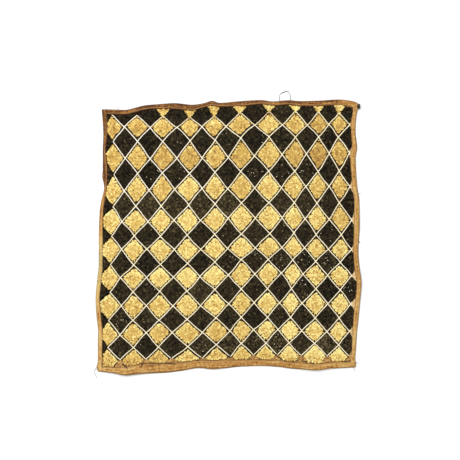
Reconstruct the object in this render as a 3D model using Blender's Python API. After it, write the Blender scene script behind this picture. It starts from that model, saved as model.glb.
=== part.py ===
"""Kuba raffia cloth: a hemmed panel of gold and black diamonds, with a thread loop at its top edge.

Metres, +Z up. The cloth lies face up on the ground. The origin is under the middle of its outline,
and +Y runs to its top edge. Tables are in millimetres.
"""
from collections import namedtuple

import bmesh
import bpy
from mathutils import Matrix, Vector

MM = 0.001

# Heights of the face over the back, in millimetres
GROUND = 1.4
LINE_CREST = 2.3
PILE_SHOULDER = 2.8
PILE_LEVEL = 3.1
PILE_CROWN = 3.4

# Steps from the middle of a stitched line in to a diamond's crown. A diamond that the hem cuts off
# has a level top, and one that it cuts down to less than the least radius has no pile.
Ring = namedtuple("Ring", "width height")
WHOLE_RINGS = (
    Ring(1.9, GROUND),
    Ring(0.7, PILE_SHOULDER),
    Ring(4.5, PILE_CROWN),
)
CUT_RINGS = (
    Ring(1.9, GROUND),
    Ring(0.9, PILE_LEVEL),
)
LEAST_RADIUS = 5.0

# The stitched lines cross where a half column and a half row are both even or both odd.
# Half columns count from the left and half rows from the top. The field ends at the hem.
LAST_COLUMN = 18
LAST_ROW = 17
FIELD_LEFT = -0.5
FIELD_RIGHT = 19.0
FIELD_TOP = -0.4
FIELD_BOTTOM = 17.4
LEAST_REST = 3.5
GRID_CELLS = 24
CUT_MERGE = 0.0001

# Longest edges along the rim, in half columns: all round, and near the rolled end at the top right
Rim = namedtuple("Rim", "longest near")
RIM = (
    Rim(0.62, None),
    Rim(0.4, 2.2),
    Rim(0.22, 1.2),
)

# Where each half column stands, left to right, at four half rows down the cloth
Column = namedtuple("Column", "top upper middle bottom")
COLUMN_STATIONS = Column(1.0, 3.5, 8.5, 16.0)
COLUMNS = (
    Column(-256, -252, -258, -265),
    Column(-230, -228, -235, -239),
    Column(-201, -199, -209, -211),
    Column(-172, -173, -180, -182),
    Column(-144, -145, -150, -154),
    Column(-114, -115, -120, -125),
    Column(-85, -85, -91, -91),
    Column(-59, -58, -62, -58),
    Column(-32, -29, -31, -27),
    Column(-5, -1, -1, 4),
    Column(25, 28, 28, 28),
    Column(58, 58, 59, 54),
    Column(89, 88, 90, 82),
    Column(118, 117, 117, 107),
    Column(147, 145, 143, 133),
    Column(173, 171, 167, 160),
    Column(198, 197, 193, 190),
    Column(221, 222, 220, 216),
    Column(243, 243, 246, 243),
)

# Where each half row stands, top to bottom, at four half columns across the cloth
Row = namedtuple("Row", "left mid_left mid_right right")
ROW_STATIONS = Row(0.0, 6.0, 12.0, 18.0)
ROWS = (
    Row(271, 265, 278, 274),
    Row(243, 243, 248, 248),
    Row(210, 212, 221, 222),
    Row(174, 174, 180, 186),
    Row(139, 141, 146, 145),
    Row(102, 107, 110, 112),
    Row(68, 71, 77, 76),
    Row(35, 38, 43, 39),
    Row(3, 5, 9, 5),
    Row(-27, -26, -21, -26),
    Row(-59, -57, -48, -53),
    Row(-89, -87, -79, -84),
    Row(-120, -118, -112, -115),
    Row(-151, -150, -143, -146),
    Row(-182, -179, -175, -178),
    Row(-213, -209, -202, -207),
    Row(-242, -239, -232, -236),
    Row(-269, -266, -258, -261),
)

# The turned hem of each side: its outer and its inner edge at places along it
Hem = namedtuple("Hem", "along outer inner")
TOP_HEM = (
    Hem(-277, 282.0, 272.5),
    Hem(-256, 281.5, 270.5),
    Hem(-228, 280.5, 270.0),
    Hem(-206, 285.0, 274.5),
    Hem(-184, 290.5, 280.0),
    Hem(-162, 292.5, 282.5),
    Hem(-118, 295.5, 282.0),
    Hem(-80, 292.0, 278.5),
    Hem(-56, 295.0, 285.0),
    Hem(-36, 300.5, 289.5),
    Hem(-20, 296.0, 287.0),
    Hem(22, 299.5, 288.0),
    Hem(71, 302.0, 292.5),
    Hem(98, 299.0, 289.5),
    Hem(131, 302.0, 291.5),
    Hem(157, 300.0, 288.5),
    Hem(201, 301.0, 288.5),
    Hem(241, 303.0, 290.5),
    Hem(267, 300.5, 286.0),
    Hem(281, 297.0, 282.5),
    Hem(286, 293.5, 281.5),
)
BOTTOM_HEM = (
    Hem(-287, -294.5, -283.5),
    Hem(-272, -296.0, -284.0),
    Hem(-254, -298.0, -284.5),
    Hem(-226, -303.0, -284.0),
    Hem(-199, -300.5, -278.5),
    Hem(-173, -299.0, -276.5),
    Hem(-140, -297.5, -276.0),
    Hem(-102, -293.0, -274.0),
    Hem(-63, -287.0, -269.0),
    Hem(-36, -289.5, -270.0),
    Hem(-8, -287.5, -268.5),
    Hem(25, -284.0, -268.5),
    Hem(73, -282.5, -268.5),
    Hem(109, -284.5, -269.0),
    Hem(135, -288.0, -273.0),
    Hem(164, -290.0, -275.0),
    Hem(192, -292.0, -277.0),
    Hem(223, -288.5, -274.0),
    Hem(256, -287.0, -273.0),
    Hem(279, -285.5, -273.0),
)
LEFT_HEM = (
    Hem(-294, -287.0, -277.5),
    Hem(-285, -290.5, -277.5),
    Hem(-274, -287.5, -277.5),
    Hem(-247, -287.5, -277.5),
    Hem(-208, -287.0, -277.0),
    Hem(-170, -290.5, -280.5),
    Hem(-137, -292.0, -283.0),
    Hem(-93, -289.0, -279.5),
    Hem(-60, -285.5, -276.5),
    Hem(-5, -285.5, -276.5),
    Hem(56, -283.5, -275.5),
    Hem(82, -279.5, -272.0),
    Hem(111, -273.5, -267.5),
    Hem(135, -277.5, -265.5),
    Hem(148, -276.5, -265.5),
    Hem(192, -276.5, -269.5),
    Hem(225, -275.5, -266.0),
    Hem(258, -277.0, -266.5),
    Hem(281, -279.0, -269.5),
)
RIGHT_HEM = (
    Hem(-286, 279.0, 268.0),
    Hem(-281, 280.5, 268.0),
    Hem(-269, 278.5, 268.0),
    Hem(-247, 280.0, 270.0),
    Hem(-208, 282.5, 272.0),
    Hem(-177, 286.0, 274.0),
    Hem(-137, 289.5, 278.5),
    Hem(-98, 292.0, 281.0),
    Hem(-67, 288.0, 276.5),
    Hem(-32, 285.5, 274.0),
    Hem(24, 288.0, 275.5),
    Hem(82, 287.5, 276.0),
    Hem(104, 284.0, 272.5),
    Hem(137, 281.0, 269.5),
    Hem(175, 279.5, 267.5),
    Hem(197, 282.5, 271.0),
    Hem(232, 279.0, 269.0),
    Hem(258, 280.0, 269.5),
    Hem(276, 282.5, 272.5),
    Hem(280, 285.5, 272.5),
    Hem(283, 288.5, 272.5),
    Hem(288, 289.0, 272.5),
    Hem(294, 285.5, 272.5),
)

# The outer corners of the hem, by side
Corner = namedtuple("Corner", "x y")
CORNERS = {
    ("left", "top"): Corner(-279.0, 281.5),
    ("right", "top"): Corner(285.5, 294.0),
    ("left", "bottom"): Corner(-287.0, -294.5),
    ("right", "bottom"): Corner(279.0, -285.5),
}
MITRE = 32.0

# Steps across the hem, from its inner edge over its roll to the back; the height is a share of its crest
Step = namedtuple("Step", "across height")
HEM_STEPS = (
    Step(0.10, 0.72),
    Step(0.32, 1.0),
    Step(0.68, 0.95),
    Step(0.92, 0.72),
    Step(1.00, 0.36),
    Step(0.93, 0.0),
    Step(0.0, 0.0),
)
TOP_CREST = 4.2
BOTTOM_CREST = 3.4
HALF_HEIGHT = 303.0

# Places where the edge is full and stands a little off the ground
Lift = namedtuple("Lift", "x y reach rise")
LIFTS = (
    Lift(-184, 292, 62, 2.2),
    Lift(71, 303, 55, 1.8),
    Lift(250, 302, 60, 2.6),
    Lift(-228, -304, 75, 3.6),
    Lift(-36, -291, 48, 1.6),
    Lift(192, -293, 66, 3.0),
    Lift(293, -98, 62, 2.6),
    Lift(291, 40, 50, 1.4),
    Lift(-293, -140, 62, 2.6),
    Lift(-279, 140, 48, 1.4),
)

# The thread loop on the top hem, lying on the ground
THREAD_DIAMETER = 0.9
THREAD_GAP = 0.35
THREAD_LEAVES = 1.7
THREAD_STEPS = 24
Bend = namedtuple("Bend", "x y z")
LOOP_BENDS = (
    Bend(111.6, 305.5, 0.9),
    Bend(112.0, 311.0, 0.5),
    Bend(114.6, 316.4, 0.5),
    Bend(119.9, 319.2, 0.5),
    Bend(126.3, 321.4, 0.5),
    Bend(132.0, 319.0, 0.5),
    Bend(135.4, 314.4, 0.5),
    Bend(136.5, 308.6, 0.8),
)
LOOP_STARTS = 112.6
LOOP_ENDS = 135.6


def clear_scene():
    for thing in list(bpy.data.objects):
        bpy.data.objects.remove(thing, do_unlink=True)


def smooth(stations, values, at):
    """Reads a smooth curve through the values, which turns only at its stations."""
    if at <= stations[0]:
        return values[0]
    if at >= stations[-1]:
        return values[-1]
    spans = [b - a for a, b in zip(stations, stations[1:])]
    slopes = [(b - a) / span for a, b, span in zip(values, values[1:], spans)]
    leans = [slopes[0]]
    for before, after in zip(slopes, slopes[1:]):
        turns = before * after <= 0
        leans.append(0.0 if turns else 2 * before * after / (before + after))
    leans.append(slopes[-1])
    k = max(i for i in range(len(spans)) if stations[i] <= at)
    t = (at - stations[k]) / spans[k]
    rise = values[k] + (values[k + 1] - values[k]) * t * t * (3 - 2 * t)
    return rise + spans[k] * t * (1 - t) * (leans[k] * (1 - t) - leans[k + 1] * t)


def hem_edge(hem, edge, along):
    """The outer or inner edge of one side's hem at a place along it."""
    return smooth([row.along for row in hem], [getattr(row, edge) for row in hem], along)


def between(table, stations, place, station):
    """Reads a table of lines between two of its rows."""
    first = min(max(int(place), 0), len(table) - 2)
    low = smooth(stations, table[first], station)
    high = smooth(stations, table[first + 1], station)
    return low + (high - low) * (place - first)


def field_x(u, v, y):
    """Across the field: the columns, and past the outer ones the way to the hem."""
    column = between(COLUMNS, COLUMN_STATIONS, min(max(u, 0), LAST_COLUMN), v)
    left = hem_edge(LEFT_HEM, "inner", y)
    right = hem_edge(RIGHT_HEM, "inner", y)
    column = min(max(column, left + LEAST_REST), right - LEAST_REST)
    if u < 0:
        return column + (left - column) * u / FIELD_LEFT
    if u > LAST_COLUMN:
        return column + (right - column) * (u - LAST_COLUMN) / (FIELD_RIGHT - LAST_COLUMN)
    return column


def field_y(u, v, x):
    """Down the field: the rows, and past the outer ones the way to the hem."""
    row = between(ROWS, ROW_STATIONS, min(max(v, 0), LAST_ROW), u)
    top = hem_edge(TOP_HEM, "inner", x)
    bottom = hem_edge(BOTTOM_HEM, "inner", x)
    row = min(max(row, bottom + LEAST_REST), top - LEAST_REST)
    if v < 0:
        return row + (top - row) * v / FIELD_TOP
    if v > LAST_ROW:
        return row + (bottom - row) * (v - LAST_ROW) / (FIELD_BOTTOM - LAST_ROW)
    return row


def field_point(u, v):
    """Where a point of the lattice lies on the cloth, in millimetres."""
    x = between(COLUMNS, COLUMN_STATIONS, min(max(u, 0), LAST_COLUMN), v)
    y = between(ROWS, ROW_STATIONS, min(max(v, 0), LAST_ROW), u)
    for _ in range(4):
        x = field_x(u, v, y)
        y = field_y(u, v, x)
    return Vector((x, y))


def same(a, b):
    return abs(a - b) < 0.001


def sides_of(u, v):
    """The sides of the field that a rim point lies on."""
    flat = "left" if same(u, FIELD_LEFT) else "right" if same(u, FIELD_RIGHT) else None
    tall = "top" if same(v, FIELD_TOP) else "bottom" if same(v, FIELD_BOTTOM) else None
    return flat, tall


def mitre_shift(inner, axis, ends):
    """How far the hem's outer edge is shifted along its side, towards the nearer corner."""
    shift = 0.0
    for inner_corner, outer_corner in ends:
        away = abs(inner[axis] - inner_corner[axis])
        shift += (outer_corner[axis] - inner_corner[axis]) * max(0.0, 1 - away / MITRE)
    return shift


def hem_outer(u, v):
    """The hem's outer edge beyond a rim point, in millimetres."""
    flat, tall = sides_of(u, v)
    if flat and tall:
        return Vector(CORNERS[flat, tall])
    inner = field_point(u, v)
    if tall:
        ends = [(field_point(at, v), CORNERS[side, tall])
                for side, at in (("left", FIELD_LEFT), ("right", FIELD_RIGHT))]
        x = inner.x + mitre_shift(inner, 0, ends)
        return Vector((x, hem_edge(TOP_HEM if tall == "top" else BOTTOM_HEM, "outer", x)))
    ends = [(field_point(u, at), CORNERS[flat, side])
            for side, at in (("top", FIELD_TOP), ("bottom", FIELD_BOTTOM))]
    y = inner.y + mitre_shift(inner, 1, ends)
    return Vector((hem_edge(LEFT_HEM if flat == "left" else RIGHT_HEM, "outer", y), y))


def hem_crest(y):
    """The hem is rolled tighter, and so stands higher, towards the top."""
    share = (y / HALF_HEIGHT + 1) / 2
    return BOTTOM_CREST + (TOP_CREST - BOTTOM_CREST) * share


def lift(x, y):
    """How far the cloth stands off the ground, in millimetres."""
    height = 0.0
    for place in LIFTS:
        near = 1 - Vector((x - place.x, y - place.y)).length / place.reach
        if near > 0:
            height += place.rise * near * near * (3 - 2 * near)
    return height


def diamond_grid():
    """The field as diamonds, in half columns and half rows, cut off at the hem."""
    bm = bmesh.new()
    bmesh.ops.create_grid(bm, x_segments=GRID_CELLS, y_segments=GRID_CELLS, size=GRID_CELLS)
    bmesh.ops.translate(bm, verts=bm.verts, vec=(LAST_ROW + 1, 0, 0))
    turn = Matrix(((0.5, 0.5, 0, 0), (0.5, -0.5, 0, 0), (0, 0, 1, 0), (0, 0, 0, 1)))
    bmesh.ops.transform(bm, matrix=turn, verts=bm.verts)
    cuts = (
        ((FIELD_LEFT, 0, 0), (-1, 0, 0)),
        ((FIELD_RIGHT, 0, 0), (1, 0, 0)),
        ((0, FIELD_TOP, 0), (0, -1, 0)),
        ((0, FIELD_BOTTOM, 0), (0, 1, 0)),
    )
    for point, outwards in cuts:
        geometry = bm.verts[:] + bm.edges[:] + bm.faces[:]
        bmesh.ops.bisect_plane(
            bm, geom=geometry, dist=CUT_MERGE, plane_co=point, plane_no=outwards, clear_outer=True)
    return bm


def refine_rim(bm):
    """Adds points along the rim, more of them at the top right, where the rolled hem ends."""
    rolled_end = Vector((FIELD_RIGHT, FIELD_TOP, 0))
    for step in RIM:
        rim = [edge for edge in bm.edges if edge.is_boundary and edge.calc_length() > step.longest]
        if step.near:
            rim = [edge for edge in rim if (edge.verts[0].co - rolled_end).length < step.near]
        bmesh.ops.subdivide_edges(bm, edges=rim, cuts=1)


def lay_field(bm):
    """Moves the lattice to its place on the cloth, and keeps each point's half column and half row."""
    column = bm.verts.layers.float.new("column")
    row = bm.verts.layers.float.new("row")
    for vert in bm.verts:
        vert[column] = vert.co.x
        vert[row] = vert.co.y
        crest = GROUND if vert.is_boundary else LINE_CREST
        vert.co = (field_point(vert.co.x, vert.co.y) * MM).to_3d()
        vert.co.z = crest * MM
    bmesh.ops.recalc_face_normals(bm, faces=bm.faces)
    if bm.faces[0].normal.z < 0:
        bmesh.ops.reverse_faces(bm, faces=bm.faces)
    return column, row


def add_back(bm):
    """The back of the cloth: the same sheet at the ground, face down."""
    copy = bmesh.ops.duplicate(bm, geom=bm.verts[:] + bm.edges[:] + bm.faces[:])["geom"]
    for item in copy:
        if isinstance(item, bmesh.types.BMVert):
            item.co.z = 0.0
    bmesh.ops.reverse_faces(bm, faces=[item for item in copy if isinstance(item, bmesh.types.BMFace)])


def roll_hem(bm, rim, column, row):
    """Turns the hem out from the field, over its crest and back under to the rim of the back."""
    for step in HEM_STEPS:
        grown = bmesh.ops.extrude_edge_only(bm, edges=rim)["geom"]
        for vert in grown:
            if isinstance(vert, bmesh.types.BMVert):
                inner = field_point(vert[column], vert[row])
                outer = hem_outer(vert[column], vert[row])
                place = inner.lerp(outer, step.across)
                vert.co = (place * MM).to_3d()
                vert.co.z = hem_crest(place.y) * step.height * MM
        rim = [edge for edge in grown if isinstance(edge, bmesh.types.BMEdge) and edge.is_boundary]
    bmesh.ops.remove_doubles(bm, verts=bm.verts, dist=0.02 * MM)


def sort_diamonds(bm):
    """The whole diamonds, and those that the hem cuts off but for the smallest."""
    cut = [face for face in bm.faces if any(edge.is_boundary for edge in face.edges)]
    whole = [face for face in bm.faces if face not in set(cut)]
    wide = [face for face in cut if 2 * face.calc_area() / face.calc_perimeter() > LEAST_RADIUS * MM]
    return whole, wide


def raise_pile(bm, diamonds, rings):
    """Raises each diamond's cut pile inside the stitched lines that frame it."""
    for ring in rings:
        bmesh.ops.inset_individual(bm, faces=diamonds, thickness=ring.width * MM, use_even_offset=True)
        for face in diamonds:
            for vert in face.verts:
                vert.co.z = ring.height * MM


def lift_edges(bm):
    for vert in bm.verts:
        vert.co.z += lift(vert.co.x / MM, vert.co.y / MM) * MM


def make_cloth(name):
    bm = diamond_grid()
    refine_rim(bm)
    column, row = lay_field(bm)
    whole, cut = sort_diamonds(bm)
    rim = [edge for edge in bm.edges if edge.is_boundary]
    add_back(bm)
    roll_hem(bm, rim, column, row)
    raise_pile(bm, whole, WHOLE_RINGS)
    raise_pile(bm, cut, CUT_RINGS)
    lift_edges(bm)
    mesh = bpy.data.meshes.new(name)
    bm.to_mesh(mesh)
    bm.free()
    return bpy.data.objects.new(name, mesh)


def on_hem_edge(x):
    """A point just clear of the top hem's outer edge, at mid height, in millimetres."""
    y = hem_edge(TOP_HEM, "outer", x)
    return Vector((x, y + THREAD_GAP, THREAD_LEAVES + lift(x, y)))


def make_loop(name):
    """The thread loop: a smooth curve through its bends, from the hem and back to it."""
    bends = [on_hem_edge(LOOP_STARTS)] + [Vector(bend) for bend in LOOP_BENDS] + [on_hem_edge(LOOP_ENDS)]
    run = [0.0]
    for before, after in zip(bends, bends[1:]):
        run.append(run[-1] + (after - before).length)
    points = []
    for step in range(THREAD_STEPS + 1):
        at = run[-1] * step / THREAD_STEPS
        points.append([smooth(run, [bend[axis] for bend in bends], at) for axis in range(3)])
    curve = bpy.data.curves.new(name, "CURVE")
    curve.dimensions = "3D"
    curve.bevel_depth = THREAD_DIAMETER / 2 * MM
    curve.bevel_resolution = 2
    curve.use_fill_caps = True
    spline = curve.splines.new("POLY")
    spline.points.add(len(points) - 1)
    for target, point in zip(spline.points, points):
        target.co = [value * MM for value in point] + [1.0]
    return bpy.data.objects.new(name, curve)


def give_material(thing, name, colour, roughness):
    material = bpy.data.materials.new(name)
    material.use_nodes = True
    shader = material.node_tree.nodes["Principled BSDF"]
    shader.inputs["Base Color"].default_value = (*colour, 1.0)
    shader.inputs["Roughness"].default_value = roughness
    shader.inputs["Metallic"].default_value = 0.0
    thing.data.materials.append(material)


def centre_outline(cloth, others):
    """Puts the middle of the cloth's outline over the origin."""
    xs = [vert.co.x for vert in cloth.data.vertices]
    ys = [vert.co.y for vert in cloth.data.vertices]
    shift = Vector((-(min(xs) + max(xs)) / 2, -(min(ys) + max(ys)) / 2, 0))
    for thing in [cloth] + others:
        thing.data.transform(Matrix.Translation(shift))


def main():
    clear_scene()
    collection = bpy.data.collections.new("kuba_raffia_cloth")
    bpy.context.scene.collection.children.link(collection)
    cloth = make_cloth("cloth")
    give_material(cloth, "raffia", (0.46, 0.31, 0.11), 0.85)
    loop = make_loop("hanging_loop")
    give_material(loop, "thread", (0.16, 0.14, 0.12), 0.8)
    centre_outline(cloth, [loop])
    collection.objects.link(cloth)
    collection.objects.link(loop)


main()
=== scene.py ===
"""The looks of a kuba raffia cloth: its woven ground, cut pile, stem-stitched lines and turned hem.

Metres, +Z up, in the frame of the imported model: the cloth lies face up, and +Y runs to its top edge.
Tables are in millimetres.
"""
import math
import random
from bisect import bisect_right
from collections import namedtuple
from functools import lru_cache, partial

import bmesh
import bpy
from mathutils import Matrix, Vector, noise


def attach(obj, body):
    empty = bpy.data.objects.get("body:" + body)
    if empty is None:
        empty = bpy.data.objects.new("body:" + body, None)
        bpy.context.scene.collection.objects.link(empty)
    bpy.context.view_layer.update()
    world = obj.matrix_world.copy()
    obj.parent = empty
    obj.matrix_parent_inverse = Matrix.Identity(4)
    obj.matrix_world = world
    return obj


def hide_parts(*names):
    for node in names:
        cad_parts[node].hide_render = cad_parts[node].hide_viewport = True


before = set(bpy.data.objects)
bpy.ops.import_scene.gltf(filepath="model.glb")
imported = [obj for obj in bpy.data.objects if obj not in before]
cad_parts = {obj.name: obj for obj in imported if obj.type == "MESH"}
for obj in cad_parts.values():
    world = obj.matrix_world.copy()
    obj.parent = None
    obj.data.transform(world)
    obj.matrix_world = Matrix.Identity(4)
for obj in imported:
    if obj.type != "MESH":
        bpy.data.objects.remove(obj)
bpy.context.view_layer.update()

MM = 0.001

# The photograph: a camera straight above the cloth, far off, that sees a square of this width
VIEW_WIDTH = 1012.0
VIEW_MIDDLE = (3.1, 16.5)
CAMERA_HEIGHT = 3000.0

# Heights of the face over the back
GROUND = 1.4
PILE_SHOULDER = 2.75
PILE_CROWN = 3.35
SHOULDER_WIDTH = 6.0
PILE_ROOT = 1.05

# The lattice. Lines cross where a half column and a half row are both even or both odd.
# A diamond whose middle is on an even half column is gold, and one on an odd half column is black.
LAST_COLUMN = 19
LAST_ROW = 17
FIELD_LEFT = -0.62
FIELD_RIGHT = 19.4
FIELD_TOP = -0.4
FIELD_BOTTOM = 17.4
LEAST_REST = 2.4

# The hand-sewn lines sway a little
SWAY = 2.6
SWAY_RATE = 0.83
SWAY_LAYERS = (4.2, 17.9)

# Where each half column stands, left to right, at four half rows down the cloth
Column = namedtuple("Column", "top upper middle bottom")
COLUMN_STATIONS = Column(1.0, 3.5, 8.5, 16.0)
COLUMNS = (
    Column(-256, -252, -258, -265),
    Column(-230, -228, -235, -239),
    Column(-201, -199, -209, -211),
    Column(-172, -173, -180, -182),
    Column(-144, -145, -150, -154),
    Column(-114, -115, -120, -125),
    Column(-85, -85, -91, -91),
    Column(-59, -58, -62, -58),
    Column(-32, -29, -31, -27),
    Column(-5, -1, -1, 4),
    Column(25, 28, 28, 28),
    Column(58, 58, 59, 54),
    Column(89, 88, 90, 82),
    Column(118, 117, 117, 107),
    Column(147, 145, 143, 133),
    Column(173, 171, 167, 160),
    Column(198, 197, 193, 190),
    Column(221, 222, 220, 216),
    Column(243, 243, 246, 243),
    Column(266, 266, 271, 265),
)

# Where each half row stands, top to bottom, at four half columns across the cloth
Row = namedtuple("Row", "left mid_left mid_right right")
ROW_STATIONS = Row(0.0, 6.0, 12.0, 18.0)
ROWS = (
    Row(271, 265, 278, 274),
    Row(243, 243, 248, 248),
    Row(210, 212, 221, 222),
    Row(174, 174, 180, 186),
    Row(139, 141, 146, 145),
    Row(102, 107, 110, 112),
    Row(68, 71, 77, 76),
    Row(35, 38, 43, 39),
    Row(3, 5, 9, 5),
    Row(-27, -26, -21, -26),
    Row(-59, -57, -48, -53),
    Row(-89, -87, -79, -84),
    Row(-120, -118, -112, -115),
    Row(-151, -150, -143, -146),
    Row(-182, -179, -175, -178),
    Row(-213, -209, -202, -207),
    Row(-242, -239, -232, -236),
    Row(-269, -266, -258, -261),
)

# The turned hem of each side: its outer and its inner edge at places along it
Hem = namedtuple("Hem", "along outer inner")
HEMS = {
    "top": (
        Hem(-277, 282.0, 272.5),
        Hem(-256, 281.5, 270.5),
        Hem(-228, 280.5, 270.0),
        Hem(-206, 285.0, 274.5),
        Hem(-184, 290.5, 280.0),
        Hem(-162, 292.5, 282.5),
        Hem(-118, 295.5, 282.0),
        Hem(-80, 292.0, 278.5),
        Hem(-56, 295.0, 285.0),
        Hem(-36, 300.5, 289.5),
        Hem(-20, 296.0, 287.0),
        Hem(22, 299.5, 288.0),
        Hem(71, 302.0, 292.5),
        Hem(98, 299.0, 289.5),
        Hem(131, 302.0, 291.5),
        Hem(157, 300.0, 288.5),
        Hem(201, 301.0, 288.5),
        Hem(241, 303.0, 290.5),
        Hem(267, 300.5, 286.0),
        Hem(281, 297.0, 282.5),
        Hem(286, 293.5, 281.5),
    ),
    "bottom": (
        Hem(-287, -294.5, -283.5),
        Hem(-272, -296.0, -284.0),
        Hem(-254, -298.0, -284.5),
        Hem(-226, -303.0, -284.0),
        Hem(-199, -300.5, -278.5),
        Hem(-173, -299.0, -276.5),
        Hem(-140, -297.5, -276.0),
        Hem(-102, -293.0, -274.0),
        Hem(-63, -287.0, -269.0),
        Hem(-36, -289.5, -270.0),
        Hem(-8, -287.5, -268.5),
        Hem(25, -284.0, -268.5),
        Hem(73, -282.5, -268.5),
        Hem(109, -284.5, -269.0),
        Hem(135, -288.0, -273.0),
        Hem(164, -290.0, -275.0),
        Hem(192, -292.0, -277.0),
        Hem(223, -288.5, -274.0),
        Hem(256, -287.0, -273.0),
        Hem(279, -285.5, -273.0),
    ),
    "left": (
        Hem(-294, -287.0, -277.5),
        Hem(-285, -290.5, -277.5),
        Hem(-274, -287.5, -277.5),
        Hem(-247, -287.5, -277.5),
        Hem(-208, -287.0, -277.0),
        Hem(-170, -290.5, -280.5),
        Hem(-137, -292.0, -283.0),
        Hem(-93, -289.0, -279.5),
        Hem(-60, -285.5, -276.5),
        Hem(-5, -285.5, -276.5),
        Hem(56, -283.5, -275.5),
        Hem(82, -279.5, -272.0),
        Hem(111, -273.5, -267.5),
        Hem(135, -277.5, -265.5),
        Hem(148, -276.5, -265.5),
        Hem(192, -276.5, -269.5),
        Hem(225, -275.5, -266.0),
        Hem(258, -277.0, -266.5),
        Hem(281, -279.0, -269.5),
    ),
    "right": (
        Hem(-286, 279.0, 268.0),
        Hem(-281, 280.5, 268.0),
        Hem(-269, 278.5, 268.0),
        Hem(-247, 280.0, 270.0),
        Hem(-208, 282.5, 272.0),
        Hem(-177, 286.0, 274.0),
        Hem(-137, 289.5, 278.5),
        Hem(-98, 292.0, 281.0),
        Hem(-67, 288.0, 276.5),
        Hem(-32, 285.5, 274.0),
        Hem(24, 288.0, 275.5),
        Hem(82, 287.5, 276.0),
        Hem(104, 284.0, 272.5),
        Hem(137, 281.0, 269.5),
        Hem(175, 279.5, 267.5),
        Hem(197, 282.5, 271.0),
        Hem(232, 279.0, 269.0),
        Hem(258, 280.0, 269.5),
        Hem(276, 282.5, 272.5),
        Hem(280, 283.5, 272.5),
        Hem(284, 285.5, 272.5),
        Hem(288, 287.0, 272.5),
        Hem(294, 285.5, 272.5),
    ),
}

# The outer corners of the hem, by side
CORNERS = {
    ("left", "top"): (-279.0, 281.5),
    ("right", "top"): (285.5, 294.0),
    ("left", "bottom"): (-287.0, -294.5),
    ("right", "bottom"): (279.0, -285.5),
}
MITRE = 32.0

# Steps across the hem, from its inner edge over its roll and back under; the height is a share of its crest
Step = namedtuple("Step", "across height")
HEM_STEPS = (
    Step(0.0, 0.44),
    Step(0.02, 0.60),
    Step(0.07, 0.75),
    Step(0.16, 0.90),
    Step(0.28, 0.98),
    Step(0.40, 1.0),
    Step(0.52, 0.98),
    Step(0.64, 0.96),
    Step(0.76, 0.90),
    Step(0.87, 0.80),
    Step(0.95, 0.64),
    Step(1.0, 0.38),
    Step(0.98, 0.14),
    Step(0.92, 0.0),
    Step(0.5, 0.0),
    Step(0.0, 0.0),
)
TOP_CREST = 4.2
BOTTOM_CREST = 3.4
HALF_HEIGHT = 303.0

# Places where the edge is full and stands a little off the ground
Lift = namedtuple("Lift", "x y reach rise")
LIFTS = (
    Lift(-184, 292, 62, 2.2),
    Lift(71, 303, 55, 1.8),
    Lift(250, 302, 60, 2.6),
    Lift(-228, -304, 75, 3.6),
    Lift(-36, -291, 48, 1.6),
    Lift(192, -293, 66, 3.0),
    Lift(293, -98, 62, 2.6),
    Lift(291, 40, 50, 1.4),
    Lift(-293, -140, 62, 2.6),
    Lift(-279, 140, 48, 1.4),
)

# The dye of each hem at places along it: below 0 is bleached, 0 golden tan, 0.5 orange tan, 1 dark red-brown
DYES = {
    "top": (
        (-280, 0.92), (-150, 0.94), (-20, 0.90), (60, 0.87),
        (160, 0.83), (240, 0.77), (262, 0.56), (287, 0.40),
    ),
    "left": (
        (-294, 0.22), (-200, 0.26), (-130, 0.16), (-90, -0.20), (-45, -0.42),
        (-10, 0.0), (18, 0.46), (80, 0.58), (110, 0.88), (281, 1.04),
    ),
    "right": (
        (-286, 0.26), (-150, 0.30), (-60, 0.45), (40, 0.33),
        (160, 0.37), (230, 0.42), (294, 0.40),
    ),
    "bottom": (
        (-287, 0.28), (-225, 0.36), (-150, 0.46), (-60, 0.44),
        (20, 0.50), (110, 0.46), (200, 0.36), (279, 0.34),
    ),
}

# Soft patches where the gold pile is more orange (below 0) or paler (above 0), by half column and half row
Tint = namedtuple("Tint", "column row reach amount")
GOLD_TONE = 0.62
GOLD_TINTS = (
    Tint(3, 1.5, 6.5, -0.25),
    Tint(9.5, 0.6, 5.0, -0.18),
    Tint(18, 3.4, 6.0, -0.22),
    Tint(18.5, 5.8, 2.4, -0.18),
    Tint(14.5, 3.2, 3, -0.16),
    Tint(16.5, 2.0, 4, -0.20),
    Tint(5, 3.0, 3.2, -0.14),
    Tint(9.5, 4.0, 3.2, -0.18),
    Tint(-0.5, 4.0, 2.2, -0.10),
    Tint(-1, 15, 3.6, -0.24),
    Tint(-1, 11.5, 2.4, -0.16),
    Tint(3, 18, 3.4, -0.26),
    Tint(8.4, 16.4, 3.0, -0.14),
    Tint(11, 17.6, 3.0, -0.14),
    Tint(10, 13.0, 1.6, -0.08),
    Tint(0, 0.6, 2.0, -0.08),
    Tint(8, 7.6, 4.0, 0.05),
    Tint(6, 12.0, 4.0, 0.10),
    Tint(13, 12.0, 4.5, 0.08),
    Tint(13, 3.0, 5.0, -0.07),
    Tint(4, 14.5, 4.0, -0.12),
    Tint(15, 16, 4.6, 0.07),
)

# Soft patches where the black pile is faded to olive brown
BLACK_TONE = 0.235
BLACK_TINTS = (
    Tint(2, 14, 2.4, 0.16),
    Tint(9, 12, 3.0, 0.12),
    Tint(8, 16.4, 3.0, 0.26),
    Tint(12.5, 16.4, 2.8, 0.36),
    Tint(16.5, 16.4, 3.4, 0.34),
    Tint(10, 9, 3.5, 0.06),
    Tint(6, 12.4, 2.6, 0.22),
    Tint(5, 16.4, 3.6, 0.10),
    Tint(3, 2.5, 4, -0.12),
    Tint(17, 3, 3, -0.06),
)

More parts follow.
